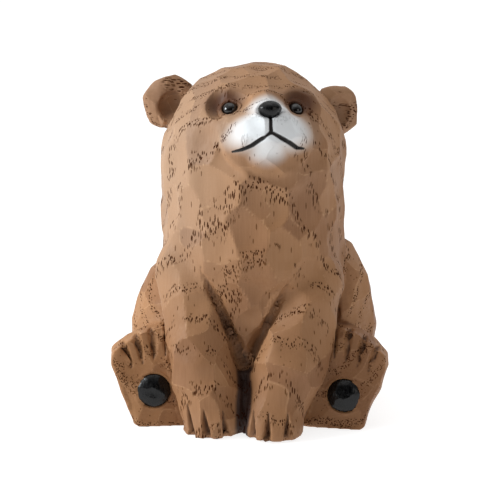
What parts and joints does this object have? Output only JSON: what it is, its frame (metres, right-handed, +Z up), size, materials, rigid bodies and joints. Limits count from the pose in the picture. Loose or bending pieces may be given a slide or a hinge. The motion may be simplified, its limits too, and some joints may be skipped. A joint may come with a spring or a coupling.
{
  "type": "carved wooden bear figurine",
  "caption": "Seated bear looking up, carved in wood, with glued ears and hind legs and black eyes, nose and sole pads.",
  "frame": {"origin": "centre of the bounding box's footprint, on the surface that the figure stands on", "axes": "+Z up, the bear faces -Y, its left side is +X"},
  "size_m": [0.1128, 0.1016, 0.1443],
  "materials": {
    "carved_wood": "brown hardwood with gouge marks and dark open pores, satin",
    "peg_wood": "plain turned dowel, unfinished",
    "black_glass": "opaque black glass bead, polished",
    "black_lacquer": "black gloss lacquer over a carved wooden dome"
  },
  "bodies": {
    "root": {"body": "carved_wood", "left_ear": "carved_wood", "right_ear": "carved_wood", "left_hind_leg": "carved_wood", "right_hind_leg": "carved_wood", "left_ear_dowel": "peg_wood", "right_ear_dowel": "peg_wood", "left_leg_dowel_upper": "peg_wood", "left_leg_dowel_lower": "peg_wood", "right_leg_dowel_upper": "peg_wood", "right_leg_dowel_lower": "peg_wood", "left_eye": "black_glass", "right_eye": "black_glass", "nose": "black_lacquer", "left_paw_pad": "black_lacquer", "right_paw_pad": "black_lacquer"}
  },
  "joints": []
}
